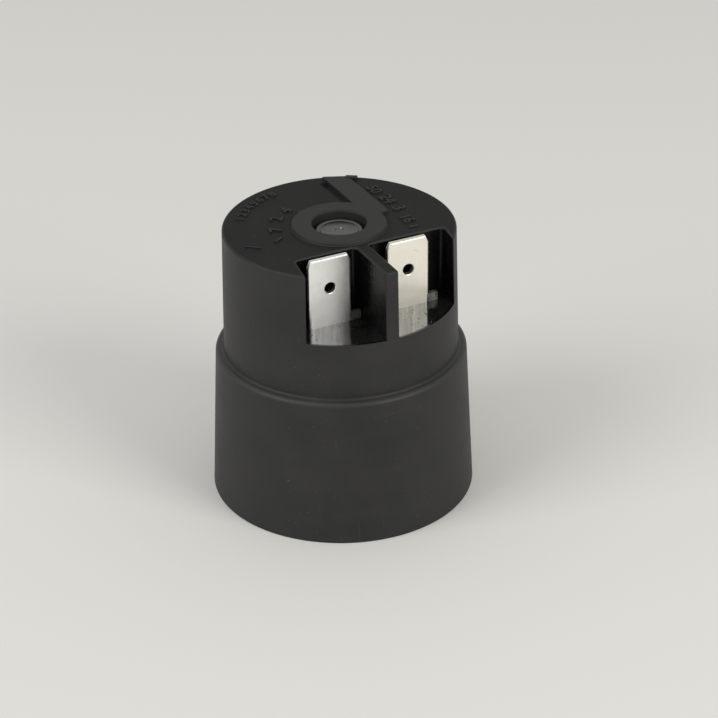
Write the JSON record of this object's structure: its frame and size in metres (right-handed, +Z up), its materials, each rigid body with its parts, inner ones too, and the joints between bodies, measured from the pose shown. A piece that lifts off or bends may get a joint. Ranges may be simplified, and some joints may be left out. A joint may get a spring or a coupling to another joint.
{
  "type": "solenoid cartridge valve",
  "caption": "Stepped round moulded solenoid head with two blade terminals in open pockets, driving a spring-closed poppet cartridge that ends flush with its flat base.",
  "frame": {"origin": "middle of the flat base, on the axis of the valve", "axes": "+Z up along the valve's axis; the terminal pockets open towards -Y; +X is to the right of someone who faces the pockets"},
  "size_m": [0.0378, 0.0378, 0.0406],
  "materials": {
    "moulding": "fine satin, glass-filled",
    "resin": "glossy cast",
    "tinned": "bright tinned brass",
    "copper": "enamelled wire",
    "stainless": "turned",
    "plated_steel": "zinc plated",
    "spring_steel": "drawn",
    "brass": "turned",
    "rubber": "moulded",
    "bobbin_plastic": "natural nylon",
    "tape": "polyester film"
  },
  "bodies": {
    "head": {"coil_housing": "moulding", "potting_left": "resin", "potting_right": "resin", "terminal_left": "tinned", "terminal_right": "tinned", "lead_left": "copper", "lead_right": "copper", "guide_tube": "stainless", "fixed_core": "stainless", "residual_shim": "brass", "return_spring": "spring_steel", "valve_seat": "brass", "inlet_screen": "stainless", "base_plate": "plated_steel", "flux_can": "plated_steel", "lower_pole": "plated_steel", "upper_pole": "plated_steel", "bobbin": "bobbin_plastic", "winding": "copper", "winding_tape": "tape", "inlet_ring": "rubber", "outlet_ring": "rubber", "seat_ring": "rubber", "core_ring": "rubber"},
    "armature": {"plunger": "stainless", "poppet_seal": "rubber"}
  },
  "joints": [
    {"name": "plunger_slide", "type": "slide", "parent": "head", "child": "armature", "axis": [0, 0, 1], "range_m": [0, 0.0012], "stiffness_N_per_m": 900, "springref_m": -0.002, "deforming": ["return_spring"]}
  ]
}
